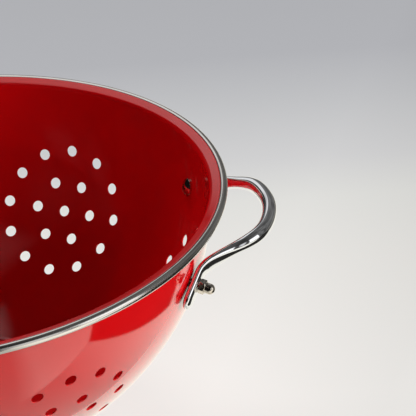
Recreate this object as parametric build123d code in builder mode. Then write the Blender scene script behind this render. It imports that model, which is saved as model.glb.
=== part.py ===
from build123d import *
from math import asin, atan2, cos, degrees, radians, sin, sqrt
import os

# Colander: a red coated steel bowl with drain holes, a bright steel rim band,
# a foot ring, and two bright rod handles held by screws and cap nuts.
# Millimetres, +Z up, origin in the middle of the foot ring's underside.
# The handles lie along X.

# Bowl
crest_radius = 134.4            # top of the lip, where it dips into the rim band
bowl_depth = 108.6              # lip crest down to the inside of the base
lip_reach = 5.2                 # lip crest outside the top of the wall
base_radius = 53.0              # where the wall would meet the flat base
wall_thickness = 0.8
upper_wall_radius = 111.1       # the wall's profile is two tangent arcs
upper_wall_turn = 33.5          # degrees of the upper arc
base_corner_radius = 10.0
flare_radius = 3.6              # bend from the wall out into the lip
lip_slope = 16.0                # degrees
curl_radius = 1.6               # lip edge turned down inside the rim band
curl_end_angle = 32.0           # degrees above level where the lip edge stops

# Drain holes
hole_diameter = 5.5
ring_pitch = 15.5               # centre hole to inner ring, inner to outer ring
inner_ring_holes = 6
outer_ring_holes = 12
cluster_count = 6
cluster_drop = 62.4             # cluster centre below the lip crest
cluster_turn = 2.3              # degrees from the handle to the nearest cluster
drill_reach = 9.0               # how far a drill runs past the wall's tangent plane
base_pitch = 11.5               # ring spacing of the holes in the base
base_rings = 3
base_ring_step = 6              # each base ring has this many more holes

# Rim band
band_diameter = 4.0
band_thickness = 0.45
band_offset = 1.5               # band centre outside the lip crest
lip_clearance = 0.15
slot_run_in = 1.0               # slot for the lip, before the lip starts to curl

# Foot ring
foot_inset = 3.0                # foot's wall inside the edge of the base
foot_height = 10.6
foot_thickness = 0.8
foot_flange_width = 6.0
foot_corner_radius = 2.2
foot_lip_width = 5.0            # flat edge that the colander stands on

# Handles
bolt_half_angle = 20.9          # degrees from the handle's middle to each bolt
bolt_drop = 25.8                # bolts below the lip crest
grip_stand_off = 21.9           # middle of the grip outside the lip crest
grip_drop = 15.6                # middle of the grip below the lip crest
grip_diameter = 6.0
leg_diameter = 5.4
tab_width = 10.0
tab_thickness = 4.0
tab_splay = 36.0                # degrees, slope of the tabs down and outwards
tab_tip_reach = 12.5            # bolt to the rounded tip
tab_root_reach = 5.0            # bolt to where the tab starts to leave the wall
tab_clearance = 0.3             # tab off the coated wall
section_count = 17              # along one leg
corner_share = 0.47             # corner radius of a section to its smaller side
flatten_share = 0.34            # part of a leg over which the rod flattens
leg_reach_shares = (0.253, 0.517, 0.787, 0.944)
leg_spread_shares = (0.816, 0.701, 0.560, 0.310)
leg_rise_shares = (0.542, 0.762, 0.927, 0.954)

# Screws and cap nuts
screw_diameter = 3.5
screw_clearance = 0.25          # around the shank, in the bowl and the tab
screw_end_chamfer = 0.5
head_diameter = 9.0
head_height = 2.4
head_rim_height = 0.5
head_clearance = 0.15           # flat underside off the hollow wall
recess_span = 5.0
recess_width = 1.0
recess_depth = 1.4
recess_taper = 8.0              # degrees
nut_width = 6.0                 # across flats
nut_hex_height = 3.0
nut_height = 7.4
nut_corner_height = 0.4
dome_diameter = 5.0
thread_clearance = 0.1
thread_depth = 5.6              # bore depth of the cap nut
screw_tip_gap = 0.5             # screw end short of the bottom of the bore

# Worked out from the sizes above
wall_top_radius = crest_radius - lip_reach
grip_reach = crest_radius + grip_stand_off
foot_radius = base_radius - foot_inset
base_level = foot_height + wall_thickness
crest_level = base_level + bowl_depth
drill_diameter = screw_diameter + screw_clearance + screw_clearance
stack_height = wall_thickness + tab_clearance + tab_thickness

# Centres of the profile's arcs, as (radius, level)
upper_centre = (wall_top_radius - upper_wall_radius, crest_level)
turn = radians(upper_wall_turn)
corner_away = (upper_centre[0] - base_radius, bowl_depth)
along = corner_away[0] * cos(turn) - corner_away[1] * sin(turn)
lower_wall_radius = (
    corner_away[0] ** 2 + corner_away[1] ** 2 + 2 * upper_wall_radius * along
    + upper_wall_radius ** 2
) / (2 * (along + upper_wall_radius))
lower_centre = (
    upper_centre[0] + (upper_wall_radius - lower_wall_radius) * cos(turn),
    upper_centre[1] - (upper_wall_radius - lower_wall_radius) * sin(turn),
)
corner_level = base_level + base_corner_radius
corner_rise = corner_level - lower_centre[1]
corner_centre = (
    lower_centre[0] + sqrt((lower_wall_radius - base_corner_radius) ** 2 - corner_rise ** 2),
    corner_level,
)
curl_centre = (crest_radius, crest_level - curl_radius)
slope = radians(lip_slope)
lip_start = (curl_centre[0] - curl_radius * sin(slope), curl_centre[1] + curl_radius * cos(slope))
skin_flare_radius = flare_radius + wall_thickness
reach_r = lip_start[0] + skin_flare_radius * sin(slope) - upper_centre[0]
reach_z = lip_start[1] - skin_flare_radius * cos(slope) - upper_centre[1]
forward = reach_r * cos(slope) + reach_z * sin(slope)
centre_gap = upper_wall_radius + skin_flare_radius
lip_length = forward - sqrt(forward ** 2 - reach_r ** 2 - reach_z ** 2 + centre_gap ** 2)
flare_centre = (
    upper_centre[0] + reach_r - lip_length * cos(slope),
    upper_centre[1] + reach_z - lip_length * sin(slope),
)
flare_angle = degrees(atan2(flare_centre[1] - upper_centre[1], flare_centre[0] - upper_centre[0]))
corner_angle = degrees(atan2(corner_centre[1] - lower_centre[1], corner_centre[0] - lower_centre[0]))
band_centre = (crest_radius + band_offset, curl_centre[1])


# Plane at a place on the wall, facing out, with its x level and its y up the wall.
# The stand off is measured outwards from the inside of the wall.
def wall_plane(azimuth, drop, stand_off):
    on_upper = drop < upper_wall_radius * sin(turn)
    centre = upper_centre if on_upper else lower_centre
    radius = upper_wall_radius if on_upper else lower_wall_radius
    dip = asin((drop + centre[1] - crest_level) / radius)
    distance = radius + stand_off
    ring = centre[0] + distance * cos(dip)
    level = centre[1] - distance * sin(dip)
    angle = radians(azimuth)
    return Plane(
        origin=(ring * cos(angle), ring * sin(angle), level),
        x_dir=(-sin(angle), cos(angle), 0),
        z_dir=(cos(angle) * cos(dip), sin(angle) * cos(dip), -sin(dip)),
    )


handle_azimuths = {"right": 0, "left": 180}
bolt_azimuths = {
    "right_front": -bolt_half_angle,
    "right_back": bolt_half_angle,
    "left_front": 180 + bolt_half_angle,
    "left_back": 180 - bolt_half_angle,
}
cluster_azimuths = [cluster_turn + 360 / cluster_count * i for i in range(cluster_count)]

os.makedirs("parts", exist_ok=True)


# Bowl: one pressed sheet, revolved, then punched
with BuildPart() as bowl:
    with BuildSketch(Plane.XZ) as bowl_profile:
        with BuildLine() as skin:
            Line((0, base_level), (corner_centre[0], base_level))
            CenterArc(corner_centre, base_corner_radius, -90, 90 + corner_angle)
            CenterArc(lower_centre, lower_wall_radius, corner_angle, -upper_wall_turn - corner_angle)
            CenterArc(upper_centre, upper_wall_radius, -upper_wall_turn, upper_wall_turn + flare_angle)
            CenterArc(flare_centre, skin_flare_radius, 180 + flare_angle, lip_slope - 90 - flare_angle)
            Line(
                (
                    flare_centre[0] - skin_flare_radius * sin(slope),
                    flare_centre[1] + skin_flare_radius * cos(slope),
                ),
                lip_start,
            )
            CenterArc(curl_centre, curl_radius, 90 + lip_slope, curl_end_angle - 90 - lip_slope)
            offset(amount=wall_thickness, side=Side.RIGHT)
        make_face()
    revolve(axis=Axis.Z)
    for azimuth in cluster_azimuths:
        with BuildSketch(wall_plane(azimuth, cluster_drop, 0)):
            Circle(hole_diameter / 2)
            with PolarLocations(ring_pitch, inner_ring_holes):
                Circle(hole_diameter / 2)
            with PolarLocations(2 * ring_pitch, outer_ring_holes):
                Circle(hole_diameter / 2)
        extrude(amount=drill_reach, both=True, mode=Mode.SUBTRACT)
    with BuildSketch(Plane.XY.offset(foot_height)):
        Circle(hole_diameter / 2)
        for ring in range(1, base_rings + 1):
            with PolarLocations(ring * base_pitch, ring * base_ring_step):
                Circle(hole_diameter / 2)
    extrude(amount=wall_thickness, mode=Mode.SUBTRACT)
    for azimuth in bolt_azimuths.values():
        with BuildSketch(wall_plane(azimuth, bolt_drop, 0)):
            Circle(drill_diameter / 2)
        extrude(amount=drill_reach, both=True, mode=Mode.SUBTRACT)
bowl.part.label = "bowl"
export_step(bowl.part, "parts/bowl.step")


# Rim band: a thin tube, open where the lip enters it
with BuildPart() as rim_band:
    with BuildSketch(Plane.XZ):
        with Locations(band_centre):
            Circle(band_diameter / 2)
            Circle(band_diameter / 2 - band_thickness, mode=Mode.SUBTRACT)
        with BuildLine():
            lip_middle = CenterArc(
                curl_centre,
                curl_radius - wall_thickness / 2,
                90 + lip_slope,
                curl_end_angle - 90 - lip_slope,
            )
            PolarLine(lip_middle @ 0, slot_run_in, 180 + lip_slope)
        trace(line_width=wall_thickness + lip_clearance + lip_clearance, mode=Mode.SUBTRACT)
    revolve(axis=Axis.Z)
rim_band.part.label = "rim_band"
export_step(rim_band.part, "parts/rim_band.step")


# Foot ring: flange under the base, wall, and a flat edge turned out at the bottom
foot_inner_radius = foot_radius - foot_thickness
flange_underside = foot_height - foot_thickness
with BuildPart() as foot_ring:
    with BuildSketch(Plane.XZ):
        with BuildLine():
            FilletPolyline(
                (foot_radius - foot_flange_width, flange_underside),
                (foot_inner_radius, flange_underside),
                (foot_inner_radius, 0),
                (foot_inner_radius + foot_lip_width, 0),
                radius=foot_corner_radius,
            )
            offset(amount=foot_thickness, side=Side.LEFT)
        make_face()
    revolve(axis=Axis.Z)
foot_ring.part.label = "foot_ring"
export_step(foot_ring.part, "parts/foot_ring.step")


# Handles: a rod bent into a loop, its ends flattened into tabs that lie along the wall.
# One half is made from its tab to the middle of the grip, and then mirrored.
def rod_section(width, thickness):
    RectangleRounded(width, thickness, min(width, thickness) * corner_share)


def build_handle(azimuth):
    seat = wall_plane(
        azimuth - bolt_half_angle, bolt_drop, wall_thickness + tab_clearance + tab_thickness / 2
    )
    splay = radians(tab_splay)
    towards_loop = seat.x_dir * cos(splay) + seat.y_dir * sin(splay)
    tab = Plane(origin=seat.origin, x_dir=seat.z_dir.cross(towards_loop), z_dir=towards_loop)
    tab_tip = tab.offset(tab_width / 2 - tab_tip_reach)
    outward = Vector(1, 0, 0).rotate(Axis.Z, azimuth)
    sideways = Vector(0, 1, 0).rotate(Axis.Z, azimuth)
    bolt_reach = tab.origin.dot(outward)
    bolt_spread = tab.origin.dot(sideways)
    grip_level = crest_level - grip_drop

    route = [tab.origin + tab.z_dir * tab_root_reach]
    for reach, spread, rise in zip(leg_reach_shares, leg_spread_shares, leg_rise_shares):
        point = outward * (bolt_reach + (grip_reach - bolt_reach) * reach)
        point += sideways * bolt_spread * spread
        point += Vector(0, 0, tab.origin.Z + (grip_level - tab.origin.Z) * rise)
        route.append(point)
    route.append(outward * grip_reach + Vector(0, 0, grip_level))
    leg = Spline(*route, tangents=(tab.z_dir, sideways))

    with BuildPart() as handle:
        for step in range(section_count):
            place = step / (section_count - 1)
            blend = min(place / flatten_share, 1)
            rounded = blend * blend * (3 - 2 * blend)
            rod = leg_diameter + (grip_diameter - leg_diameter) * place * place
            tangent = leg % place
            facing = tab.y_dir * (1 - place) + outward * place
            with BuildSketch(Plane(origin=leg @ place, x_dir=facing.cross(tangent), z_dir=tangent)):
                rod_section(
                    tab_width + (rod - tab_width) * rounded,
                    tab_thickness + (rod - tab_thickness) * rounded,
                )
        loft()
        with BuildSketch(tab_tip):
            rod_section(tab_width, tab_thickness)
        extrude(amount=tab_tip_reach - tab_width / 2 + tab_root_reach)
        with BuildSketch(tab_tip):
            rod_section(tab_width, tab_thickness)
            split(bisect_by=Plane.YZ, keep=Keep.TOP)
        revolve(axis=Axis(tab_tip.origin, tab_tip.y_dir), revolution_arc=180)
        with BuildSketch(seat):
            Circle(drill_diameter / 2)
        extrude(amount=tab_thickness, both=True, mode=Mode.SUBTRACT)
        mirror(about=Plane(origin=(0, 0, 0), z_dir=sideways))
    return handle


for side, azimuth in handle_azimuths.items():
    handle = build_handle(azimuth)
    handle.part.label = f"handle_{side}"
    export_step(handle.part, f"parts/handle_{side}.step")


# Screws: domed heads with a cross recess inside the bowl, ends inside the cap nuts
def build_screw(azimuth):
    seat = wall_plane(azimuth, bolt_drop, -head_clearance)
    shank_length = head_clearance + stack_height + thread_depth - screw_tip_gap
    rim_drop = head_height - head_rim_height
    dome_radius = (head_diameter ** 2 / 4 + rim_drop ** 2) / (2 * rim_drop)
    with BuildPart() as screw:
        with BuildSketch(seat):
            Circle(screw_diameter / 2)
        extrude(amount=shank_length)
        chamfer(screw.edges().group_by(Axis(seat.origin, seat.z_dir))[-1], screw_end_chamfer)
        with BuildSketch(seat):
            Circle(head_diameter / 2)
        extrude(amount=-head_rim_height)
        profile = Plane(origin=seat.origin, x_dir=seat.x_dir, z_dir=seat.y_dir)
        with BuildSketch(profile):
            with BuildLine():
                Line((0, head_rim_height), (head_diameter / 2, head_rim_height))
                RadiusArc((head_diameter / 2, head_rim_height), (0, head_height), -dome_radius)
                Line((0, head_height), (0, head_rim_height))
            make_face()
        revolve(axis=Axis(seat.origin, seat.z_dir))
        with BuildSketch(seat.offset(-head_height)):
            Rectangle(recess_span, recess_width)
            Rectangle(recess_width, recess_span)
        extrude(amount=recess_depth, taper=recess_taper, mode=Mode.SUBTRACT)
    return screw


# Cap nuts: a hexagon with trimmed corners under a round dome, bored from below
def build_nut(azimuth):
    seat = wall_plane(azimuth, bolt_drop, stack_height)
    corner_radius = nut_width / sqrt(3)
    neck_height = nut_height - dome_diameter / 2
    with BuildPart() as nut:
        with BuildSketch(seat):
            RegularPolygon(corner_radius, 6)
        extrude(amount=nut_hex_height)
        profile = Plane(origin=seat.origin, x_dir=seat.x_dir, z_dir=seat.y_dir * -1)
        with BuildSketch(profile):
            with BuildLine():
                Polyline(
                    (0, 0),
                    (nut_width / 2, 0),
                    (corner_radius, nut_corner_height),
                    (corner_radius, nut_hex_height - nut_corner_height),
                    (nut_width / 2, nut_hex_height),
                    (0, nut_hex_height),
                    close=True,
                )
            make_face()
        revolve(axis=Axis(seat.origin, seat.z_dir), mode=Mode.INTERSECT)
        with BuildSketch(profile):
            with BuildLine():
                Polyline(
                    (0, neck_height),
                    (0, nut_hex_height),
                    (dome_diameter / 2, nut_hex_height),
                    (dome_diameter / 2, neck_height),
                )
                CenterArc((0, neck_height), dome_diameter / 2, 0, 90)
                Line((0, nut_height), (0, neck_height))
            make_face()
        revolve(axis=Axis(seat.origin, seat.z_dir))
        with BuildSketch(seat):
            Circle(screw_diameter / 2 + thread_clearance)
        extrude(amount=thread_depth, mode=Mode.SUBTRACT)
    return nut


for place, azimuth in bolt_azimuths.items():
    screw = build_screw(azimuth)
    screw.part.label = f"screw_{place}"
    export_step(screw.part, f"parts/screw_{place}.step")
    nut = build_nut(azimuth)
    nut.part.label = f"cap_nut_{place}"
    export_step(nut.part, f"parts/cap_nut_{place}.step")
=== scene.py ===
import math

import bmesh
import bpy
import numpy as np
from mathutils import Matrix, Vector


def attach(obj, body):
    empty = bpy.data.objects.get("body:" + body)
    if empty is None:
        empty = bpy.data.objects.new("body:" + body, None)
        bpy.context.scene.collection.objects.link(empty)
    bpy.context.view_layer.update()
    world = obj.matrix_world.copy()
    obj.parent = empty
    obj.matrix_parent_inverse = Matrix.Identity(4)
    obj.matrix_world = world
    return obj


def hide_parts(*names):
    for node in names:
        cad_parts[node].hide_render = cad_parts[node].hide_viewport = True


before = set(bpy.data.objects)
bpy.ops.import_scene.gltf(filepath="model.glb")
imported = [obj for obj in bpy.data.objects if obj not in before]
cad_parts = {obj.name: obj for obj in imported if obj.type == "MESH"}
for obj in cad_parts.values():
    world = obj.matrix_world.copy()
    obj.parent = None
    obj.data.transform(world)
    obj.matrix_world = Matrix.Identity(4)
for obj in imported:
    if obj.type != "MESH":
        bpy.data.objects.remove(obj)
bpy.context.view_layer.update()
scene = bpy.context.scene
mm = 0.001
pivot = 0.1                    # radius that every lathe turns its profile at
print("frame loaded")


# Expressions on sockets add their own Math nodes
class Socket:
    def __init__(self, graph, socket):
        self.graph = graph
        self.socket = socket

    def out(self, name):
        return Socket(self.graph, pickSocket(self.socket.node.outputs, name))

    def maths(self, operation, *values):
        return self.graph.make("ShaderNodeMath", {"operation": operation}, dict(enumerate(values)))

    def __add__(self, other):
        return self.maths("ADD", self, other)

    def __sub__(self, other):
        return self.maths("SUBTRACT", self, other)

    def __mul__(self, other):
        return self.maths("MULTIPLY", self, other)

    def __pow__(self, other):
        return self.maths("POWER", self, other)

    __radd__ = __add__
    __rmul__ = __mul__


def pickSocket(sockets, key):
    if isinstance(key, int):
        return sockets[key]
    return next(s for s in sockets if s.name == key and s.enabled)


class Graph:
    def __init__(self, tree):
        self.tree = tree
        tree.nodes.clear()

    # A node of that type: its settings first, then the values or links of its sockets
    def make(self, kind, settings=None, inputs=None):
        node = self.tree.nodes.new(kind)
        for name, value in (settings or {}).items():
            if name == "stops":
                ramp = node.color_ramp
                while len(ramp.elements) < len(value):
                    ramp.elements.new(0.5)
                for element, (position, colour) in zip(ramp.elements, value):
                    element.position = position
                    element.color = (*colour, 1)
            else:
                setattr(node, name, value)
        for key, value in (inputs or {}).items():
            for item in value if isinstance(value, list) else [value]:
                target = pickSocket(node.inputs, key)
                if isinstance(item, Socket):
                    self.tree.links.new(item.socket, target)
                else:
                    target.default_value = item
        return Socket(self, next(s for s in node.outputs if s.enabled)) if len(node.outputs) else None

    def noise(self, place, scale, detail=2.0, roughness=0.5):
        return self.make("ShaderNodeTexNoise", {}, {
            "Vector": place, "Scale": scale, "Detail": detail, "Roughness": roughness})

    def spread(self, value, fromLow, fromHigh, toLow, toHigh):
        return self.make("ShaderNodeMapRange", {}, {
            "Value": value, "From Min": fromLow, "From Max": fromHigh, "To Min": toLow, "To Max": toHigh})

    def blendColours(self, factor, first, second):
        return self.make("ShaderNodeMix", {"data_type": "RGBA"}, {
            "Factor": factor, "A": first, "B": second})


# Geometry Nodes tree with named inputs
def newShapeTree(name, given):
    tree = bpy.data.node_groups.new(name, "GeometryNodeTree")
    graph = Graph(tree)
    for label, kind in given.items():
        tree.interface.new_socket(label, in_out="INPUT", socket_type="NodeSocket" + kind)
    tree.interface.new_socket("Geometry", in_out="OUTPUT", socket_type="NodeSocketGeometry")
    graph.given = graph.make("NodeGroupInput")
    return graph


def endShapeTree(graph, shape):
    whole = graph.make("GeometryNodeRealizeInstances", {}, {"Geometry": shape})
    finished = graph.make("GeometryNodeSetMaterial", {}, {
        "Geometry": whole, "Material": graph.given.out("Material")})
    graph.make("NodeGroupOutput", {}, {"Geometry": finished})
    return graph.tree


def linkObject(name, data):
    made = bpy.data.objects.new(name, data)
    scene.collection.objects.link(made)
    return made


def meshObject(name, points, faces=(), edges=()):
    mesh = bpy.data.meshes.new(name)
    mesh.from_pydata([tuple(map(float, p)) for p in points], list(edges), list(faces))
    return linkObject(name, mesh)


def evaluatedMesh(holder):
    bpy.context.view_layer.update()
    graph = bpy.context.evaluated_depsgraph_get()
    return bpy.data.meshes.new_from_object(
        holder.evaluated_get(graph), preserve_all_data_layers=True, depsgraph=graph)


# Runs a tree once and keeps its result as a plain mesh
def bakeTree(name, tree, settings):
    holder = linkObject(name + "Holder", bpy.data.meshes.new(name + "Base"))
    modifier = holder.modifiers.new("shape", "NODES")
    modifier.node_group = tree
    for item in tree.interface.items_tree:
        if item.in_out == "INPUT":
            modifier[item.identifier] = settings[item.name]
    mesh = evaluatedMesh(holder)
    bpy.data.objects.remove(holder)
    mesh.name = name
    return linkObject(name, mesh)


# Adds ordinary modifiers and applies them
def applyModifiers(piece, steps):
    for kind, settings in steps:
        modifier = piece.modifiers.new(kind.lower(), kind)
        for name, value in settings.items():
            setattr(modifier, name, value)
    mesh = evaluatedMesh(piece)
    piece.modifiers.clear()
    piece.data = mesh
    return piece


def removeHelpers(*helpers):
    for helper in helpers:
        bpy.data.objects.remove(helper)


def claim(piece, nodes):
    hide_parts(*nodes)
    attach(piece, "root")
    print(piece.name, "made,", len(piece.data.polygons), "faces")


# Points of an arc in (radius, level), with its ends
def arcPoints(centre, radius, start, sweep, steps):
    angles = [math.radians(start + sweep * i / steps) for i in range(steps + 1)]
    return [(centre[0] + radius * math.cos(a), centre[1] + radius * math.sin(a)) for a in angles]


# A lathe's profile as an object of edges, turned the way Curve to Mesh needs
def profileObject(name, points, closed=False):
    count = len(points)
    edges = [(i, (i + 1) % count) for i in range(count if closed else count - 1)]
    return meshObject(name, [(r * mm - pivot, -z * mm, 0) for r, z in points], edges=edges)


# Rings of equal length joined by quads, a ring of one point being a pole
def ringMesh(rings):
    points, faces, starts = [], [], []
    for ring in rings:
        starts.append(len(points))
        points.extend(ring)
    for first, second, a, b in zip(rings, rings[1:], starts, starts[1:]):
        count = max(len(first), len(second))
        for j in range(count):
            k = (j + 1) % count
            if len(first) == 1:
                faces.append((a, b + j, b + k))
            elif len(second) == 1:
                faces.append((a + j, b, a + k))
            else:
                faces.append((a + j, b + j, b + k, a + k))
    return [tuple(c * mm for c in p) for p in points], faces


def revolvedObject(name, profile, sides):
    rings = []
    for r, z in profile:
        if r == 0:
            rings.append([(0, 0, z)])
        else:
            turns = [2 * math.pi * j / sides for j in range(sides)]
            rings.append([(r * math.cos(t), r * math.sin(t), z) for t in turns])
    return meshObject(name, *ringMesh(rings))


softEdges = ("WEIGHTED_NORMAL", {"keep_sharp": True, "weight": 50})


def smoothFaces(piece, sharpAngle=None):
    piece.data.shade_smooth()
    if sharpAngle:
        piece.data.set_sharp_from_angle(angle=math.radians(sharpAngle))
    return piece


# Principled material: constants on the shader's own sockets, the rest fed in by name
def newMaterial(name, fixed):
    material = bpy.data.materials.new(name)
    material.use_nodes = True
    graph = Graph(material.node_tree)
    shader = graph.make("ShaderNodeBsdfPrincipled", {}, fixed)
    graph.make("ShaderNodeOutputMaterial", {}, {"Surface": shader})
    graph.place = graph.make("ShaderNodeTexCoord").out("Object")
    return material, graph, shader


def feed(graph, shader, name, value):
    graph.tree.links.new(value.socket, shader.socket.node.inputs[name])


enamel = {
    "deep": (0.56, 0.0016, 0.0034, 1), "bright": (0.64, 0.0026, 0.0052, 1),
    "cloudScale": 14.0, "grainScale": 160.0, "roughness": (0.06, 0.11), "coat": (0.08, 1.0),
    "peelScale": 420.0, "peelHeight": 0.000012, "ripple": 60.0, "rippleHeight": 0.00005,
}


def makeEnamel():
    material, graph, shader = newMaterial("redEnamel", {
        "IOR": 1.5, "Specular IOR Level": 0.5, "Coat Roughness": 0.03, "Coat IOR": 1.5})
    clouds = graph.noise(graph.place, enamel["cloudScale"], 3.0)
    feed(graph, shader, "Base Color", graph.blendColours(
        graph.spread(clouds, 0.35, 0.65, 0, 1), enamel["deep"], enamel["bright"]))
    fine = graph.noise(graph.place, enamel["grainScale"], 4.0, 0.6)
    feed(graph, shader, "Roughness", graph.spread(fine, 0.3, 0.7, *enamel["roughness"]))
    # The coat is full where the surface faces away from the axis and thin inside the bowl, dimming the reflections
    # inside as painted shade
    away = graph.make("ShaderNodeVectorMath", {"operation": "NORMALIZE"}, {
        0: graph.make("ShaderNodeVectorMath", {"operation": "MULTIPLY"}, {0: graph.place, 1: (1, 1, 0)})})
    facing = graph.make("ShaderNodeVectorMath", {"operation": "DOT_PRODUCT"}, {
        0: graph.make("ShaderNodeTexCoord").out("Normal"), 1: away}).out("Value")
    feed(graph, shader, "Coat Weight", graph.spread(
        facing + clouds * 0.1, -0.1, 0.4, *enamel["coat"]))
    peel = graph.noise(graph.place, enamel["peelScale"], 2.0)
    waves = graph.noise(graph.place, enamel["ripple"], 1.0)
    height = peel * enamel["peelHeight"] + waves * enamel["rippleHeight"]
    feed(graph, shader, "Normal", graph.make("ShaderNodeBump", {}, {
        "Strength": 0.6, "Distance": 1.0, "Height": height}))
    return material


bareSteel = {"colour": (0.78, 0.755, 0.725, 1), "tint": (0.66, 0.635, 0.605, 1), "roughness": (0.10, 0.22)}
brightSteel = {"colour": (0.86, 0.87, 0.89, 1), "tint": (0.78, 0.79, 0.82, 1), "roughness": (0.035, 0.09)}
nickel = {"colour": (0.72, 0.66, 0.58, 1), "tint": (0.60, 0.54, 0.47, 1), "roughness": (0.05, 0.13)}


# Polished metal, its lines round the colander's axis or in no direction
def makeMetal(name, look, lineScale, lineHeight, turned):
    material, graph, shader = newMaterial(name, {"Metallic": 1.0})
    place = graph.place
    if turned:
        parts = graph.make("ShaderNodeSeparateXYZ", {}, {"Vector": graph.place})
        across = (parts.out("X") ** 2 + parts.out("Y") ** 2) ** 0.5
        around = graph.make("ShaderNodeMath", {"operation": "ARCTAN2"}, {0: parts.out("Y"), 1: parts.out("X")})
        place = graph.make("ShaderNodeCombineXYZ", {}, {
            "X": across, "Y": around * 0.004, "Z": parts.out("Z")})
    lines = graph.noise(place, lineScale, 3.0, 0.6)
    clouds = graph.noise(graph.place, 45.0, 2.0)
    feed(graph, shader, "Base Color", graph.blendColours(
        graph.spread(clouds * 0.6 + lines * 0.4, 0.35, 0.65, 0, 1), look["tint"], look["colour"]))
    feed(graph, shader, "Roughness", graph.spread(lines, 0.3, 0.7, *look["roughness"]))
    feed(graph, shader, "Normal", graph.make("ShaderNodeBump", {}, {
        "Strength": 0.5, "Distance": 1.0, "Height": lines * lineHeight}))
    return material


redEnamel = makeEnamel()
bandMetal = makeMetal("turnedSteel", bareSteel, 2600.0, 0.000010, True)
rodMetal = makeMetal("brightRod", brightSteel, 260.0, 0.000007, False)
nutMetal = makeMetal("brightNickel", nickel, 500.0, 0.000015, False)
print("materials made")


# Bowl, holes and bolts, in mm and degrees
bowl = {
    "crestRadius": 134.4, "depth": 108.6, "baseLevel": 11.4, "lipReach": 5.2, "baseRadius": 53.0,
    "thickness": 0.8, "upperRadius": 111.1, "upperTurn": 33.5, "cornerRadius": 10.0, "flareRadius": 1.8,
    "lipSlope": 16.0, "curlRadius": 1.6, "curlEnd": 32.0, "segments": 288,
}
holes = {
    "radius": 2.75, "edge": 0.28, "sides": 24, "pitch": 15.5, "inner": 6, "outer": 12,
    "clusters": 6, "drop": 62.4, "turn": 2.3, "basePitch": 11.5,
}
bolts = {"halfAngle": 20.9, "drop": 25.8, "holeRadius": 2.0}


# Centres and angles of the bowl's profile, in mm as (radius, level)
def bowlCentres():
    crest = bowl["baseLevel"] + bowl["depth"]
    turn = math.radians(bowl["upperTurn"])
    upperRadius, thickness = bowl["upperRadius"], bowl["thickness"]
    upper = (bowl["crestRadius"] - bowl["lipReach"] - upperRadius, crest)
    away = upper[0] - bowl["baseRadius"]
    along = away * math.cos(turn) - bowl["depth"] * math.sin(turn)
    lowerRadius = (away ** 2 + bowl["depth"] ** 2 + 2 * upperRadius * along + upperRadius ** 2) / (
        2 * (along + upperRadius))
    lower = (upper[0] + (upperRadius - lowerRadius) * math.cos(turn),
             upper[1] - (upperRadius - lowerRadius) * math.sin(turn))
    cornerLevel = bowl["baseLevel"] + bowl["cornerRadius"]
    rise = cornerLevel - lower[1]
    corner = (lower[0] + math.sqrt((lowerRadius - bowl["cornerRadius"]) ** 2 - rise ** 2), cornerLevel)
    curl = (bowl["crestRadius"], crest - bowl["curlRadius"])
    slope = math.radians(bowl["lipSlope"])
    lipStart = (curl[0] - bowl["curlRadius"] * math.sin(slope), curl[1] + bowl["curlRadius"] * math.cos(slope))
    skinFlare = bowl["flareRadius"] + thickness
    reachR = lipStart[0] + skinFlare * math.sin(slope) - upper[0]
    reachZ = lipStart[1] - skinFlare * math.cos(slope) - upper[1]
    forward = reachR * math.cos(slope) + reachZ * math.sin(slope)
    gap = upperRadius + skinFlare
    lipLength = forward - math.sqrt(forward ** 2 - reachR ** 2 - reachZ ** 2 + gap ** 2)
    flare = (upper[0] + reachR - lipLength * math.cos(slope), upper[1] + reachZ - lipLength * math.sin(slope))
    return {
        "crest": crest, "upper": upper, "lower": lower, "lowerRadius": lowerRadius, "corner": corner,
        "curl": curl, "flare": flare, "skinFlare": skinFlare,
        "flareAngle": math.degrees(math.atan2(flare[1] - upper[1], flare[0] - upper[0])),
        "cornerAngle": math.degrees(math.atan2(corner[1] - lower[1], corner[0] - lower[0])),
    }


centres = bowlCentres()


# The sheet's line at a depth below its inner skin, from the axis to the lip's edge
def sheetLine(depth):
    c = centres
    points = [(r, bowl["baseLevel"] - depth) for r in np.linspace(0, c["corner"][0], 7)[:-1]]
    points += arcPoints(c["corner"], bowl["cornerRadius"] + depth, -90, 90 + c["cornerAngle"], 9)
    points += arcPoints(
        c["lower"], c["lowerRadius"] + depth, c["cornerAngle"], -bowl["upperTurn"] - c["cornerAngle"], 22)[1:]
    points += arcPoints(
        c["upper"], bowl["upperRadius"] + depth, -bowl["upperTurn"], bowl["upperTurn"] + c["flareAngle"], 20)[1:]
    points += arcPoints(
        c["flare"], c["skinFlare"] - depth, 180 + c["flareAngle"], bowl["lipSlope"] - 90 - c["flareAngle"], 10)[1:]
    points += arcPoints(
        c["curl"], bowl["curlRadius"] - depth, 90 + bowl["lipSlope"], bowl["curlEnd"] - 90 - bowl["lipSlope"], 8)
    return points


# Place and directions on the wall: level, up the wall, and out of it
def wallPlace(azimuth, drop, standOff):
    onUpper = drop < bowl["upperRadius"] * math.sin(math.radians(bowl["upperTurn"]))
    centre = centres["upper"] if onUpper else centres["lower"]
    radius = bowl["upperRadius"] if onUpper else centres["lowerRadius"]
    dip = math.asin((drop + centre[1] - centres["crest"]) / radius)
    ring = centre[0] + (radius + standOff) * math.cos(dip)
    level = centre[1] - (radius + standOff) * math.sin(dip)
    angle = math.radians(azimuth)
    outward = Vector((math.cos(angle) * math.cos(dip), math.sin(angle) * math.cos(dip), -math.sin(dip)))
    across = Vector((-math.sin(angle), math.cos(angle), 0))
    origin = Vector((ring * math.cos(angle), ring * math.sin(angle), level))
    return origin, across, outward.cross(across), outward


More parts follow.
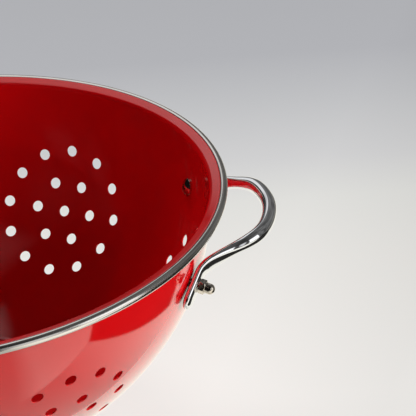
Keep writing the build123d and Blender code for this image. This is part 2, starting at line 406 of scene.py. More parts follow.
# A drill with rounded shoulders, so that each hole's edges come out round
def drillObject():
    radius, edge = holes["radius"], holes["edge"]
    flat = bowl["thickness"] / 2 - edge
    shoulder = [(radius + edge * (1 - math.cos(math.radians(a))), flat + edge * math.sin(math.radians(a)))
                for a in (0, 36, 72)]
    top = (shoulder[-1][0] + 1.05, shoulder[-1][1] + 0.34)
    upper = [(0, top[1]), top] + shoulder[::-1]
    return revolvedObject("drill", upper + [(r, -z) for r, z in upper[::-1]], holes["sides"])


# A profile carried round the axis
def turnedSkin(graph, profile):
    line = graph.make("GeometryNodeMeshToCurve", {}, {
        "Mesh": graph.make("GeometryNodeObjectInfo", {}, {"Object": profile}).out("Geometry")})
    path = graph.make("GeometryNodeCurvePrimitiveCircle", {}, {
        "Resolution": graph.given.out("Segments"), "Radius": graph.given.out("Pivot")})
    return graph.make("GeometryNodeCurveToMesh", {}, {"Curve": path, "Profile Curve": line})


# Rosettes of holes, dropped onto the wall along each rosette's direction
def punchTree():
    graph = newShapeTree("punchedSheet", {
        "Section": "Object", "Middle": "Object", "Drill": "Object", "Bolts": "Object", "Bolt Share": "Float",
        "Segments": "Int", "Pivot": "Float", "Pitch": "Float", "Inner": "Int", "Outer": "Int",
        "Clusters": "Int", "Cluster Radius": "Float", "Cluster Level": "Float", "Turn": "Float", "Dip": "Float",
        "Base Pitch": "Float", "Base Middle": "Float", "Material": "Material"})
    given = graph.given.out

    def lathe(profile):
        return graph.make("GeometryNodeMergeByDistance", {}, {
            "Geometry": turnedSkin(graph, profile), "Distance": 0.000001})

    def circle(count, radius):
        return graph.make("GeometryNodeMeshCircle", {}, {"Vertices": count, "Radius": radius})

    def join(*shapes):
        return graph.make("GeometryNodeJoinGeometry", {}, {"Geometry": list(shapes)})

    def aimed(axis, rotation, vector, around="AUTO"):
        return graph.make("FunctionNodeAlignRotationToVector", {"axis": axis, "pivot_axis": around}, {
            "Rotation": rotation, "Vector": vector})

    def noTurn():
        return graph.make("FunctionNodeEulerToRotation", {}, {})

    single = graph.make("GeometryNodeMeshLine", {}, {"Count": 1})
    pitch = given("Pitch")
    rosette = join(single, circle(given("Inner"), pitch), circle(given("Outer"), pitch * 2.0))

    # One point for each rosette, with its direction out of the wall
    hub = graph.make("GeometryNodeTransform", {}, {
        "Geometry": circle(given("Clusters"), given("Cluster Radius")),
        "Translation": graph.make("ShaderNodeCombineXYZ", {}, {"Z": given("Cluster Level")}),
        "Rotation": graph.make("ShaderNodeCombineXYZ", {}, {"Z": given("Turn")})})
    spot = graph.make("ShaderNodeSeparateXYZ", {}, {
        "Vector": graph.make("ShaderNodeVectorMath", {"operation": "NORMALIZE"}, {
            0: graph.make("ShaderNodeVectorMath", {"operation": "MULTIPLY"}, {
                0: graph.make("GeometryNodeInputPosition"), 1: (1, 1, 0)})})})
    level = given("Dip").maths("COSINE", given("Dip"))
    down = given("Dip").maths("SINE", given("Dip")) * -1.0
    outward = graph.make("ShaderNodeCombineXYZ", {}, {
        "X": spot.out("X") * level, "Y": spot.out("Y") * level, "Z": down})
    across = graph.make("ShaderNodeCombineXYZ", {}, {"X": spot.out("Y") * -1.0, "Y": spot.out("X")})
    kept = graph.make("GeometryNodeStoreNamedAttribute", {"data_type": "FLOAT_VECTOR", "domain": "POINT"}, {
        "Geometry": hub, "Name": "aim", "Value": outward})
    placed = graph.make("GeometryNodeInstanceOnPoints", {}, {
        "Points": kept, "Instance": rosette,
        "Rotation": aimed("X", aimed("Z", noTurn(), outward), across, "Z")})
    spots = graph.make("GeometryNodeRealizeInstances", {}, {"Geometry": placed})
    aim = graph.make("GeometryNodeInputNamedAttribute", {"data_type": "FLOAT_VECTOR"}, {"Name": "aim"})
    start = graph.make("ShaderNodeVectorMath", {"operation": "MULTIPLY_ADD"}, {
        0: aim, 1: (-0.009, -0.009, -0.009), 2: graph.make("GeometryNodeInputPosition")})
    hit = graph.make("GeometryNodeRaycast", {}, {
        "Target Geometry": lathe(given("Middle")), "Source Position": start, "Ray Direction": aim,
        "Ray Length": 0.018})
    faced = graph.make("GeometryNodeStoreNamedAttribute", {"data_type": "FLOAT_VECTOR", "domain": "POINT"}, {
        "Geometry": spots, "Name": "facing", "Value": hit.out("Hit Normal")})
    seated = graph.make("GeometryNodeSetPosition", {}, {"Geometry": faced, "Position": hit.out("Hit Position")})
    facing = graph.make("GeometryNodeInputNamedAttribute", {"data_type": "FLOAT_VECTOR"}, {"Name": "facing"})
    drill = graph.make("GeometryNodeObjectInfo", {}, {"Object": given("Drill")}).out("Geometry")
    wallDrills = graph.make("GeometryNodeInstanceOnPoints", {}, {
        "Points": seated, "Instance": drill, "Rotation": aimed("Z", noTurn(), facing)})

    basePitch = given("Base Pitch")
    rings = join(
        graph.make("GeometryNodeMeshLine", {}, {"Count": 1}),
        circle(6, basePitch), circle(12, basePitch * 2.0), circle(18, basePitch * 3.0))
    baseSpots = graph.make("GeometryNodeTransform", {}, {
        "Geometry": rings, "Translation": graph.make("ShaderNodeCombineXYZ", {}, {"Z": given("Base Middle")})})
    baseDrills = graph.make("GeometryNodeInstanceOnPoints", {}, {"Points": baseSpots, "Instance": drill})

    boltSpots = graph.make("GeometryNodeObjectInfo", {}, {"Object": given("Bolts")}).out("Geometry")
    share = given("Bolt Share")
    boltDrills = graph.make("GeometryNodeInstanceOnPoints", {}, {
        "Points": boltSpots, "Instance": drill,
        "Rotation": graph.make("GeometryNodeInputNamedAttribute", {"data_type": "FLOAT_VECTOR"}, {"Name": "turn"}),
        "Scale": graph.make("ShaderNodeCombineXYZ", {}, {"X": share, "Y": share, "Z": 1.0})})

    tools = graph.make("GeometryNodeRealizeInstances", {}, {
        "Geometry": join(wallDrills, baseDrills, boltDrills)})
    sheet = graph.make("GeometryNodeMeshBoolean", {"operation": "DIFFERENCE", "solver": "MANIFOLD"}, {
        "Mesh 1": lathe(given("Section")), "Mesh 2": tools})
    return endShapeTree(graph, graph.make("GeometryNodeSetShadeSmooth", {}, {"Geometry": sheet}))


# Four points on the wall for what is bolted there, each with its turn
def boltSpotsObject(standOff):
    angle = bolts["halfAngle"]
    spots = [wallPlace(a, bolts["drop"], standOff) for a in (-angle, angle, 180 + angle, 180 - angle)]
    made = meshObject("boltSpots", [origin * mm for origin, *axes in spots])
    turns = made.data.attributes.new("turn", "FLOAT_VECTOR", "POINT")
    for item, (origin, across, up, outward) in zip(turns.data, spots):
        item.vector = Matrix((across, up, outward)).transposed().to_euler()[:]
    return made


def makeBowl():
    half = bowl["thickness"] / 2
    inner, outer = sheetLine(0), sheetLine(bowl["thickness"])
    section = profileObject("bowlSection", inner + outer[::-1])
    middle = profileObject("bowlMiddle", sheetLine(half))
    drill = drillObject()
    spots = boltSpotsObject(half)
    origin, across, up, outward = wallPlace(0, holes["drop"], 0)
    piece = bakeTree("bowlSheet", punchTree(), {
        "Section": section, "Middle": middle, "Drill": drill, "Bolts": spots,
        "Bolt Share": bolts["holeRadius"] / holes["radius"],
        "Segments": bowl["segments"], "Pivot": pivot, "Pitch": holes["pitch"] * mm,
        "Inner": holes["inner"], "Outer": holes["outer"], "Clusters": holes["clusters"],
        "Cluster Radius": origin.x * mm, "Cluster Level": origin.z * mm,
        "Turn": math.radians(holes["turn"]), "Dip": math.asin(-outward.z),
        "Base Pitch": holes["basePitch"] * mm, "Base Middle": (bowl["baseLevel"] - half) * mm,
        "Material": redEnamel})
    removeHelpers(section, middle, drill, spots)
    applyModifiers(piece, [softEdges])
    claim(piece, ["bowl"])


makeBowl()


# Rim band and foot ring, in mm and degrees
rimBand = {"radius": 2.0, "thickness": 0.45, "offset": 1.5, "start": 122.0, "end": -198.0, "lipRadius": 0.16}
footRing = {
    "radius": 50.0, "height": 10.6, "thickness": 0.8, "flange": 6.0, "lip": 5.0, "bend": 2.2, "edge": 0.3,
}


def latheTree():
    graph = newShapeTree("turnedRing", {
        "Section": "Object", "Segments": "Int", "Pivot": "Float", "Material": "Material"})
    skin = turnedSkin(graph, graph.given.out("Section"))
    return endShapeTree(graph, graph.make("GeometryNodeSetShadeSmooth", {}, {"Geometry": skin}))


ringTree = latheTree()


def turnedRing(name, points, segments, material):
    section = profileObject(name + "Section", points, closed=True)
    piece = bakeTree(name, ringTree, {
        "Section": section, "Segments": segments, "Pivot": pivot, "Material": material})
    removeHelpers(section)
    return applyModifiers(piece, [softEdges])


def makeRimBand():
    centre = (bowl["crestRadius"] + rimBand["offset"], centres["curl"][1])
    outer, wall = rimBand["radius"], rimBand["thickness"]
    inner = outer - wall
    sweep = rimBand["end"] - rimBand["start"]
    points = arcPoints(centre, outer, rimBand["start"], sweep, 44)
    for angle, turn in ((rimBand["end"], -1), (rimBand["start"], 1)):
        middle = (centre[0] + (outer - wall / 2) * math.cos(math.radians(angle)),
                  centre[1] + (outer - wall / 2) * math.sin(math.radians(angle)))
        if turn > 0:
            points += arcPoints(centre, inner, rimBand["end"], -sweep, 30)
        points += arcPoints(middle, wall / 2, angle + (0 if turn < 0 else 180), -180, 6)[1:-1]
    claim(turnedRing("rimBandTube", points, 288, bandMetal), ["rim_band"])


# A bent strip: a flange under the base, the wall, and a flat edge turned out to stand on
def makeFootRing():
    f = footRing
    inner, t, bend = f["radius"] - f["thickness"], f["thickness"], f["bend"]
    under = f["height"] - t
    upperBend, lowerBend = (inner - bend, under - bend), (inner + bend, bend)
    inside = [(f["radius"] - f["flange"], under)]
    inside += arcPoints(upperBend, bend, 90, -90, 7)
    inside += arcPoints(lowerBend, bend, 180, 90, 7)
    inside += [(inner + f["lip"], 0)]
    outside = [(inner + f["lip"], t)]
    outside += arcPoints(lowerBend, bend - t, 270, -90, 7)
    outside += arcPoints(upperBend, bend + t, 0, 90, 7)
    outside += [(f["radius"] - f["flange"], f["height"])]
    points = outside[::-1]
    points += arcPoints((inner + f["lip"], t / 2), t / 2, 90, -180, 6)[1:-1]
    points += inside[::-1]
    points += arcPoints((f["radius"] - f["flange"], under + t / 2), t / 2, 270, -180, 6)[1:-1]
    claim(turnedRing("footRingSheet", points, 192, redEnamel), ["foot_ring"])


makeRimBand()
makeFootRing()


# Handles, in mm; fullness is 2 for an ellipse, of the tab and of the rod
handle = {
    "gripStandOff": 21.9, "gripDrop": 15.6, "gripDiameter": 6.8, "legDiameter": 5.4, "swell": (0.28, 0.62),
    "tabWidth": 10.0, "tabThickness": 4.0, "tabSplay": 36.0, "tabTip": 12.5, "tabRoot": 5.0, "clearance": 0.3,
    "fullness": (2.5, 2.0), "flatten": (0.06, 0.44), "rings": 104,
    "reach": (0.253, 0.517, 0.787, 0.944), "spread": (0.802, 0.685, 0.545, 0.303),
    "rise": (0.582, 0.800, 0.955, 0.970),
}


# A smooth curve through points with given end directions, at even steps along its length
def smoothPath(points, startTangent, endTangent, steps):
    p = np.array(points, float)
    t = np.concatenate([[0], np.cumsum(np.linalg.norm(np.diff(p, axis=0), axis=1))])
    h = np.diff(t)
    count = len(p)
    matrix, known = np.zeros((count, count)), np.zeros((count, 3))
    matrix[0, 0] = matrix[-1, -1] = 1
    known[0], known[-1] = startTangent, endTangent
    for i in range(1, count - 1):
        matrix[i, i - 1:i + 2] = h[i], 2 * (h[i - 1] + h[i]), h[i - 1]
        known[i] = 3 * (h[i] * (p[i] - p[i - 1]) / h[i - 1] + h[i - 1] * (p[i + 1] - p[i]) / h[i])
    slopes = np.linalg.solve(matrix, known)

    def at(s):
        i = min(int(np.searchsorted(t, s, "right")) - 1, count - 2)
        u = (s - t[i]) / h[i]
        place = ((2 * u**3 - 3 * u**2 + 1) * p[i] + (u**3 - 2 * u**2 + u) * h[i] * slopes[i]
                 + (3 * u**2 - 2 * u**3) * p[i + 1] + (u**3 - u**2) * h[i] * slopes[i + 1])
        speed = ((6 * u**2 - 6 * u) * (p[i] - p[i + 1]) / h[i] + (3 * u**2 - 4 * u + 1) * slopes[i]
                 + (3 * u**2 - 2 * u) * slopes[i + 1])
        return place, speed

    fine = np.linspace(0, t[-1], 1200)
    places = np.array([at(s)[0] for s in fine])
    lengths = np.concatenate([[0], np.cumsum(np.linalg.norm(np.diff(places, axis=0), axis=1))])
    marks = np.interp(np.linspace(0, lengths[-1], steps + 1), lengths, fine)
    return [tuple(map(Vector, at(s))) for s in marks]


def easeIn(value, low, high):
    share = min(max((value - low) / (high - low), 0), 1)
    return share * share * (3 - 2 * share)


# Half outline of a rod or tab from its underside to its top, then the other half
def sectionOutline(width, thickness, fullness, steps=18):
    half = []
    for i in range(steps + 1):
        angle = math.pi * i / steps
        x, y = math.sin(angle) ** (2 / fullness), math.cos(angle)
        half.append((x * width / 2, -math.copysign(abs(y) ** (2 / fullness), y) * thickness / 2))
    return half, [(-x, y) for x, y in half[-2:0:-1]]


def makeHandle(name, node, azimuth):
    h = handle
    standOff = bowl["thickness"] + h["clearance"] + h["tabThickness"] / 2
    seat, across, up, normal = wallPlace(azimuth - bolts["halfAngle"], bolts["drop"], standOff)
    splay = math.radians(h["tabSplay"])
    towards = across * math.cos(splay) + up * math.sin(splay)
    side = normal.cross(towards)
    turn = Matrix.Rotation(math.radians(azimuth), 3, "Z")
    outward, sideways = turn @ Vector((1, 0, 0)), turn @ Vector((0, 1, 0))
    gripReach = bowl["crestRadius"] + h["gripStandOff"]
    gripLevel = centres["crest"] - h["gripDrop"]
    boltReach, boltSpread = seat.dot(outward), seat.dot(sideways)
    route = [seat + towards * h["tabRoot"]]
    for reach, spread, rise in zip(h["reach"], h["spread"], h["rise"]):
        route.append(
            outward * (boltReach + (gripReach - boltReach) * reach) + sideways * boltSpread * spread
            + Vector((0, 0, seat.z + (gripLevel - seat.z) * rise)))
    route.append(outward * gripReach + Vector((0, 0, gripLevel)))

    half, otherHalf = sectionOutline(h["tabWidth"], h["tabThickness"], h["fullness"][0])
    tip = seat - towards * (h["tabTip"] - h["tabWidth"] / 2)
    rings = [[tip + side * x + normal * y for x, y in half + otherHalf]]
    for i, (place, speed) in enumerate(smoothPath(route, towards, sideways, h["rings"])):
        share = i / h["rings"]
        rounded = easeIn(share, *h["flatten"])
        rod = h["legDiameter"] + (h["gripDiameter"] - h["legDiameter"]) * easeIn(share, *h["swell"])
        facing = normal * (1 - share) + outward * share
        sideHere = facing.cross(speed).normalized()
        faceHere = speed.cross(sideHere).normalized()
        first, second = sectionOutline(
            h["tabWidth"] + (rod - h["tabWidth"]) * rounded, h["tabThickness"] + (rod - h["tabThickness"]) * rounded,
            h["fullness"][0] + (h["fullness"][1] - h["fullness"][0]) * rounded)
        rings.append([place + sideHere * x + faceHere * y for x, y in first + second])
    cap = []
    for i in range(21):
        angle = math.pi * i / 20
        cap.append([tip + (side * math.cos(angle) - towards * math.sin(angle)) * x + normal * y for x, y in half])

    mesh = bpy.data.meshes.new(name)
    body = bmesh.new()
    mirror = Matrix.Scale(-1, 3, sideways)
    for flip in (Matrix.Identity(3), mirror):
        for grid, closed in ((rings, True), (cap, False)):
            rows = [[body.verts.new(flip @ point * mm) for point in row] for row in grid]
            for low, high in zip(rows, rows[1:]):
                count = len(low)
                for j in range(count if closed else count - 1):
                    k = (j + 1) % count
                    body.faces.new((low[j], low[k], high[k], high[j]))
    bmesh.ops.remove_doubles(body, verts=body.verts, dist=0.000002)
    bmesh.ops.recalc_face_normals(body, faces=body.faces)
    body.to_mesh(mesh)
    body.free()
    mesh.materials.append(rodMetal)
    piece = linkObject(name, mesh)
    smoothFaces(piece)

    drills = []
    for offset in (-bolts["halfAngle"], bolts["halfAngle"]):
        origin, a, b, n = wallPlace(azimuth + offset, bolts["drop"], standOff)
        radius, reach = bolts["holeRadius"], h["tabThickness"]
        drill = revolvedObject("boltDrill", [(0, reach), (radius, reach), (radius, -reach), (0, -reach)], 32)
        drill.data.transform(Matrix.Translation(origin * mm) @ Matrix((a, b, n)).transposed().to_4x4())
        drills.append(drill)
    applyModifiers(piece, [
        ("BOOLEAN", {"object": drill, "operation": "DIFFERENCE", "solver": "EXACT"}) for drill in drills])
    removeHelpers(*drills)
    smoothFaces(piece, 50)
    applyModifiers(piece, [softEdges])
    claim(piece, [node])


makeHandle("handleRodRight", "handle_right", 0)
makeHandle("handleRodLeft", "handle_left", 180)


# Screws and cap nuts, in mm outwards from the bowl's inner skin
screw = {
    "radius": 1.75, "headRadius": 4.5, "headHeight": 2.4, "rimHeight": 0.5, "rimRound": 0.2, "clearance": 0.15,
    "end": 10.2, "chamfer": 0.5, "recessSpan": 5.0, "recessWidth": 1.0, "recessDepth": 1.4, "recessCore": 0.9,
}
capNut = {
    "stand": 5.1, "apothem": 3.0, "hexHeight": 3.0, "height": 7.4, "cornerHeight": 0.4, "cornerRound": 0.3,
    "domeRadius": 2.5, "boreRadius": 1.85, "boreDepth": 5.6,
}


def boltedTree():
    graph = newShapeTree("boltedOn", {"Part": "Object", "Spots": "Object", "Material": "Material"})
    given = graph.given.out
    spots = graph.make("GeometryNodeObjectInfo", {}, {"Object": given("Spots")}).out("Geometry")
    part = graph.make("GeometryNodeObjectInfo", {}, {"Object": given("Part")}).out("Geometry")
    turn = graph.make("GeometryNodeInputNamedAttribute", {"data_type": "FLOAT_VECTOR"}, {"Name": "turn"})
    return endShapeTree(graph, graph.make("GeometryNodeInstanceOnPoints", {}, {
        "Points": spots, "Instance": part, "Rotation": turn}))


fastenerTree = boltedTree()
boltSpots = boltSpotsObject(0)


def boltOn(name, part, material, nodes):
    piece = bakeTree(name, fastenerTree, {"Part": part, "Spots": boltSpots, "Material": material})
    removeHelpers(part)
    smoothFaces(piece, 35)
    applyModifiers(piece, [softEdges])
    claim(piece, nodes)


places = ("right_front", "right_back", "left_front", "left_back")


def makeScrews():
    s = screw
    seat = -s["clearance"]
    rim = seat - s["rimHeight"]
    drop = s["headHeight"] - s["rimHeight"]
    dome = (s["headRadius"] ** 2 + drop ** 2) / (2 * drop)
    reach = math.degrees(math.asin(s["headRadius"] / dome))
    profile = [(0, s["end"]), (s["radius"] - s["chamfer"], s["end"]), (s["radius"], s["end"] - s["chamfer"])]
    profile += [(s["radius"], seat), (s["headRadius"] - s["rimRound"], seat)]
    profile += arcPoints((s["headRadius"] - s["rimRound"], seat - s["rimRound"]), s["rimRound"], 90, -90, 4)[1:]
    profile += arcPoints((0, rim - drop + dome), dome, reach - 90, -reach, 9)[:-1]
    profile += [(0, rim - drop)]
    part = revolvedObject("screwPart", profile, 48)

    # Cross recess: four tapered wings round a cone
    top = rim - drop - 0.3
    bottom = rim - drop + s["recessDepth"]
    wings = []
    for turn in (0, 90):
        long, wide = s["recessSpan"] / 2, s["recessWidth"] / 2
        points = [(x * long, y * wide, top) for x, y in ((-1, -1), (1, -1), (1, 1), (-1, 1))]
        points += [(x * long * 0.55, y * wide * 0.75, bottom) for x, y in ((-1, -1), (1, -1), (1, 1), (-1, 1))]
        faces = [(3, 2, 1, 0), (4, 5, 6, 7), (0, 1, 5, 4), (1, 2, 6, 5), (2, 3, 7, 6), (3, 0, 4, 7)]
        wing = meshObject("wing", [tuple(c * mm for c in p) for p in points], faces)
        wing.data.transform(Matrix.Rotation(math.radians(turn), 4, "Z"))
        fixed = bmesh.new()
        fixed.from_mesh(wing.data)
        bmesh.ops.recalc_face_normals(fixed, faces=fixed.faces)
        fixed.to_mesh(wing.data)
        fixed.free()
        wings.append(wing)
    core = revolvedObject("core", [(0, bottom + 0.3), (0.25, bottom + 0.2), (s["recessCore"], top), (0, top)], 20)
    cuts = [("BOOLEAN", {"object": tool, "operation": "DIFFERENCE", "solver": "EXACT"}) for tool in (*wings, core)]
    applyModifiers(part, cuts + [("BEVEL", {"width": 0.06 * mm, "segments": 2, "limit_method": "ANGLE",
                                            "angle_limit": math.radians(35)})])
    removeHelpers(*wings, core)
    boltOn("crossHeadScrews", part, nutMetal, ["screw_" + place for place in places])


def makeCapNuts():
    n = capNut
    hub = (n["apothem"] - n["cornerRound"]) / math.cos(math.pi / 6)
    corners = []
    for turn in range(0, 360, 60):
        middle = (hub * math.cos(math.radians(turn)), hub * math.sin(math.radians(turn)))
        corners.append(arcPoints(middle, n["cornerRound"], turn - 30, 60, 4))
    outline = []
    for arc, following in zip(corners, corners[1:] + corners[:1]):
        end, start = np.array(arc[-1]), np.array(following[0])
        outline += arc + [tuple(end + (start - end) * i / 6) for i in range(1, 6)]
    corner = n["apothem"] / math.cos(math.pi / 6)

    def ring(limit, z):
        made = []
        for x, y in outline:
            shrink = min(limit / math.hypot(x, y), 1)
            made.append((x * shrink, y * shrink, n["stand"] + z))
        return made

    neck = n["height"] - n["domeRadius"]
    levels = [(r, z) for r, z in arcPoints((0, neck), n["domeRadius"], 90, -90, 10)][1:]
    levels += [(n["domeRadius"], n["hexHeight"] + 0.25), (n["domeRadius"] + 0.08, n["hexHeight"] + 0.07)]
    levels += [(n["domeRadius"] + 0.25, n["hexHeight"])]
    share = [i / 4 for i in range(5)]
    levels += [(n["apothem"] + (corner - n["apothem"]) * s, n["hexHeight"] - n["cornerHeight"] * s) for s in share]
    levels += [(n["apothem"] + (corner - n["apothem"]) * s, n["cornerHeight"] * s) for s in share[::-1]]
    levels += [(n["boreRadius"] + 0.2, 0), (n["boreRadius"], 0.2), (n["boreRadius"], n["boreDepth"] - 0.3)]
    rings = [[(0, 0, n["stand"] + n["height"])]] + [ring(r, z) for r, z in levels]
    rings.append([(0, 0, n["stand"] + n["boreDepth"])])
    part = meshObject("nutPart", *ringMesh(rings))
    boltOn("capNuts", part, nutMetal, ["cap_nut_" + place for place in places])


makeScrews()
makeCapNuts()
removeHelpers(boltSpots)


# The photo's camera, in metres and degrees
camera = {
    "place": (0.149903, -0.846685, 0.569276), "heading": 91.48473, "tilt": 28.6467, "roll": -4.75045,
    "lens": 180.05, "sensor": 36.0,
}


def makeCamera():
    data = bpy.data.cameras.new("camera")
    data.lens, data.sensor_width, data.sensor_fit = camera["lens"], camera["sensor"], "HORIZONTAL"
    data.clip_start, data.clip_end = 0.05, 50
    eye = linkObject("camera", data)
    turn = Matrix.Rotation(math.radians(camera["heading"] - 90), 4, "Z")
    turn = turn @ Matrix.Rotation(math.radians(90 - camera["tilt"]), 4, "X")
    turn = turn @ Matrix.Rotation(math.radians(camera["roll"]), 4, "Z")
    eye.matrix_world = Matrix.Translation(camera["place"]) @ turn
    scene.camera = eye


floorLook = {
    # Painted light on the floor: a glow falling off from near to far, and painted shade towards the right
    "far": [(0.0, (0.94, 0.93, 0.90)), (0.13, (0.84, 0.83, 0.80)), (0.20, (0.765, 0.765, 0.74)),
            (0.25, (0.655, 0.655, 0.66)), (0.33, (0.54, 0.545, 0.56)), (0.40, (0.455, 0.46, 0.485)),
            (0.8, (0.38, 0.385, 0.40))],
    "glow": 0.8, "paint": (0.80, 0.79, 0.77, 1), "paintedShadeRight": 0.12,
    "mirrored": 1.0, "front": 1.25, "shade": 0.025, "rest": 0.20, "tint": (1, 0.97, 0.87, 1),
    # Parts of the mirrored floor's painted reflections: shares of x and y, then the range and the values it is
    # spread over
    # The near sweep falls to 0.62 close to the bowl, a painted shadow in the reflections
    "near": [(1, -0.09, 0.1817, 0.1857, 1, 0), (1, 0, 0.0, 0.03, 0, 1), (1, 0, 0.11, 0.165, 0.62, 1)],
    "behind": [(-0.7, 1, -0.127, -0.117, 0, 1), (1, 0, 0.30, 0.36, 1, 0), (0, 1, 0.24, 0.30, 1, 0),
               (1, 0, 0.0, 0.03, 0, 1)],
    "before": [(1, 0.5, -0.03, 0.03, 0, 1), (1, 0, 0.6, 0.9, 1, 0.3)],
    "room": [(0, 1, 0.12, 0.38, 0, 1), (1, 0, -0.1, 0.1, 0, 1)],
    # Edges of a painted dark patch that only shiny surfaces see
    "paintedDarkStep": (0.17, 0.22, 0, 0.02), "paintedDarkEdge": (-0.132, -0.128, 1, 0),
}


# Seen straight, the floor keeps a pale glow under the shadow; that glow is painted light,
# falling off towards the back, with painted shade towards the right. Shiny surfaces see painted
# reflections: a bright sweep close to the object's right and before it, with a painted dark patch beside it.
def makeFloor():
    look = floorLook
    floor = meshObject("floor", [(-6, -6, 0), (6, -6, 0), (6, 6, 0), (-6, 6, 0)], [(0, 1, 2, 3)])
    material = bpy.data.materials.new("paleFloor")
    material.use_nodes = True
    graph = Graph(material.node_tree)
    parts = graph.make("ShaderNodeSeparateXYZ", {}, {
        "Vector": graph.make("ShaderNodeTexCoord").out("Object")})
    x, y = parts.out("X"), parts.out("Y")
    # Painted light: the floor's glow falls off towards the back, and painted shade darkens it towards the right
    pale = graph.make("ShaderNodeValToRGB", {"stops": look["far"]}, {"Fac": y})
    paintedShade = graph.spread(x - y * 0.3, 0.12, 0.21, 0, look["paintedShadeRight"])
    pale = graph.blendColours(paintedShade, pale, (0, 0, 0, 1))
    path = graph.make("ShaderNodeLightPath")
    plain = graph.make("ShaderNodeBsdfDiffuse", {}, {"Color": look["paint"]})
    shaded = graph.make("ShaderNodeMixShader", {}, {
        0: look["glow"], 1: graph.make("ShaderNodeBsdfDiffuse", {}, {"Color": pale}),
        2: graph.make("ShaderNodeEmission", {}, {"Color": pale})})

    # Mirrored floor, painted reflections: near sweep on the right, dimmed close to the bowl as a painted shadow,
    # sweep before the object, painted dark patch between them
    def mask(name):
        product = 1.0
        for xShare, yShare, *ends in look[name]:
            product = graph.spread(x * xShare + y * yShare, *ends) * product
        return product

    near, step = mask("near"), graph.spread(x, *look["paintedDarkStep"])
    sweep = near.maths("MAXIMUM", near, mask("behind")) * look["mirrored"]
    before = mask("before") * graph.spread(y + step, *look["paintedDarkEdge"])
    sweep = sweep.maths("MAXIMUM", sweep, before * look["front"])
    clouds = graph.noise(graph.make("ShaderNodeTexCoord").out("Object"), 7.0, 2.0)
    room = mask("room") * graph.spread(clouds, 0.35, 0.65, 0.5, 1.3) * look["rest"]
    level = sweep.maths("MAXIMUM", sweep, look["shade"] + room)
    mirrored = graph.make("ShaderNodeEmission", {}, {"Color": look["tint"], "Strength": level})
    other = graph.make("ShaderNodeMixShader", {}, {0: path.out("Is Glossy Ray"), 1: plain, 2: mirrored})
    surface = graph.make("ShaderNodeMixShader", {}, {0: path.out("Is Camera Ray"), 1: other, 2: shaded})
    graph.make("ShaderNodeOutputMaterial", {}, {"Surface": surface})
    floor.data.materials.append(material)


studio = {"fill": 0.012, "seen": 0.80, "mirrored": (0.006, 0.13), "side": (0.80, 0.60, 0.0)}


# Even light for the surfaces; shiny ones see a painted reflection of a dim room, lighter to the right
def makeWorld():
    world = bpy.data.worlds.new("studio")
    scene.world = world
    world.use_nodes = True
    graph = Graph(world.node_tree)
    path = graph.make("ShaderNodeLightPath")
    around = graph.make("ShaderNodeTexCoord").out("Generated")
    towards = graph.make("ShaderNodeVectorMath", {"operation": "DOT_PRODUCT"}, {
        0: around, 1: studio["side"]}).out("Value")
    room = graph.spread(towards, -0.1, 0.5, *studio["mirrored"])
    room = room * graph.spread(graph.noise(around, 5.0, 2.0), 0.35, 0.65, 0.5, 1.4)
    strength = studio["fill"] + path.out("Is Glossy Ray") * (room - studio["fill"])
    strength = strength + path.out("Is Camera Ray") * (studio["seen"] - studio["fill"])
    graph.make("ShaderNodeOutputWorld", {}, {"Surface": graph.make("ShaderNodeBackground", {}, {
        "Color": (1, 0.99, 0.97, 1), "Strength": strength})})


# Lamps that only light; directions from the object are azimuth and elevation in degrees
lamps = {
    "keyLamp": {"from": (334, 16, 1.2), "size": (0.66, 0.78), "power": 15.4},
    "leftLamp": {"from": (212, 26, 1.3), "size": (0.5, 0.5), "power": 1.3},
    "lowLamp": {"from": (185, 14, 1.3), "size": (0.5, 0.3), "power": 1.8},
    "backLamp": {"from": (107, 38, 1.5), "size": (0.6, 0.3), "power": 15.3},
}
aimPoint = Vector((0.06, 0, 0.09))

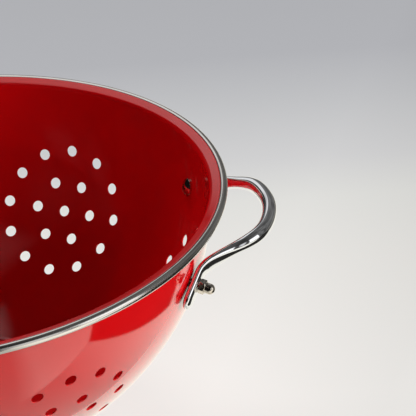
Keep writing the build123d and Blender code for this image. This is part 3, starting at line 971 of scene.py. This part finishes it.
# Cards that only shiny surfaces see: inner corners at full glow, outer corners where it ends.
# A corner is a point in metres, or a direction at the cards' distance.
cardDistance = 1.3
cards = {
    "topStrip": {
        "glow": 0.88, "outer": [(-0.165, 0.05, 0.5), (0.11, 0.05, 0.5), (0.11, 1.25, 0.5), (-0.325, 1.25, 0.5)],
        "inner": [(-0.135, 0.14, 0.5), (0.06, 0.14, 0.5), (0.06, 0.70, 0.5), (-0.205, 0.70, 0.5)]},
    "keyCard": {
        "glow": 1.35, "outer": [(321, -3), (349, -3), (351, 38), (321, 38)],
        "inner": [(322.5, 0), (347.5, 0), (349, 33), (322.5, 33)]},
    "frontCard": {
        "glow": 0.85, "outer": [(290, -3), (317, -3), (317, 40), (290, 40)],
        "inner": [(300, 0), (315, 0), (315, 26), (300, 26)]},
    "leftCard": {
        "glow": 0.22, "outer": [(205, 42), (243, 42), (250, 72), (200, 72)],
        "inner": [(221, 54), (227, 54), (227, 59), (221, 59)]},
}


def wayOut(azimuth, elevation):
    a, e = math.radians(azimuth), math.radians(elevation)
    return Vector((math.cos(a) * math.cos(e), math.sin(a) * math.cos(e), math.sin(e)))


def makeLamps():
    for name, look in lamps.items():
        azimuth, elevation, distance = look["from"]
        data = bpy.data.lights.new(name, "AREA")
        data.shape = "RECTANGLE"
        data.size, data.size_y = look["size"]
        data.energy = look["power"]
        lamp = linkObject(name, data)
        away = wayOut(azimuth, elevation)
        turn = away.to_track_quat("Z", "Y").to_matrix().to_4x4()
        lamp.matrix_world = Matrix.Translation(aimPoint + away * distance) @ turn
        lamp.visible_camera = False
        lamp.visible_glossy = False


def makeCards():
    for name, card in cards.items():
        rims = [[Vector(c) if len(c) == 3 else aimPoint + wayOut(*c) * cardDistance for c in card[key]]
                for key in ("outer", "inner")]
        faces = [(4, 5, 6, 7)] + [(i, (i + 1) % 4, 4 + (i + 1) % 4, 4 + i) for i in range(4)]
        made = meshObject(name, rims[0] + rims[1], faces)
        level = made.data.attributes.new("level", "FLOAT", "POINT")
        for item, value in zip(level.data, (0, 0, 0, 0, 1, 1, 1, 1)):
            item.value = value
        material = bpy.data.materials.new(name)
        material.use_nodes = True
        graph = Graph(material.node_tree)
        strength = graph.make("ShaderNodeAttribute", {"attribute_name": "level"}).out("Fac") * card["glow"]
        graph.make("ShaderNodeOutputMaterial", {}, {
            "Surface": graph.make("ShaderNodeEmission", {}, {"Strength": strength})})
        made.data.materials.append(material)
        for ray in ("camera", "diffuse", "transmission", "shadow"):
            setattr(made, "visible_" + ray, False)


makeCamera()
makeFloor()
makeWorld()
makeLamps()
makeCards()
scene.view_settings.view_transform = "Standard"
print("stage made")
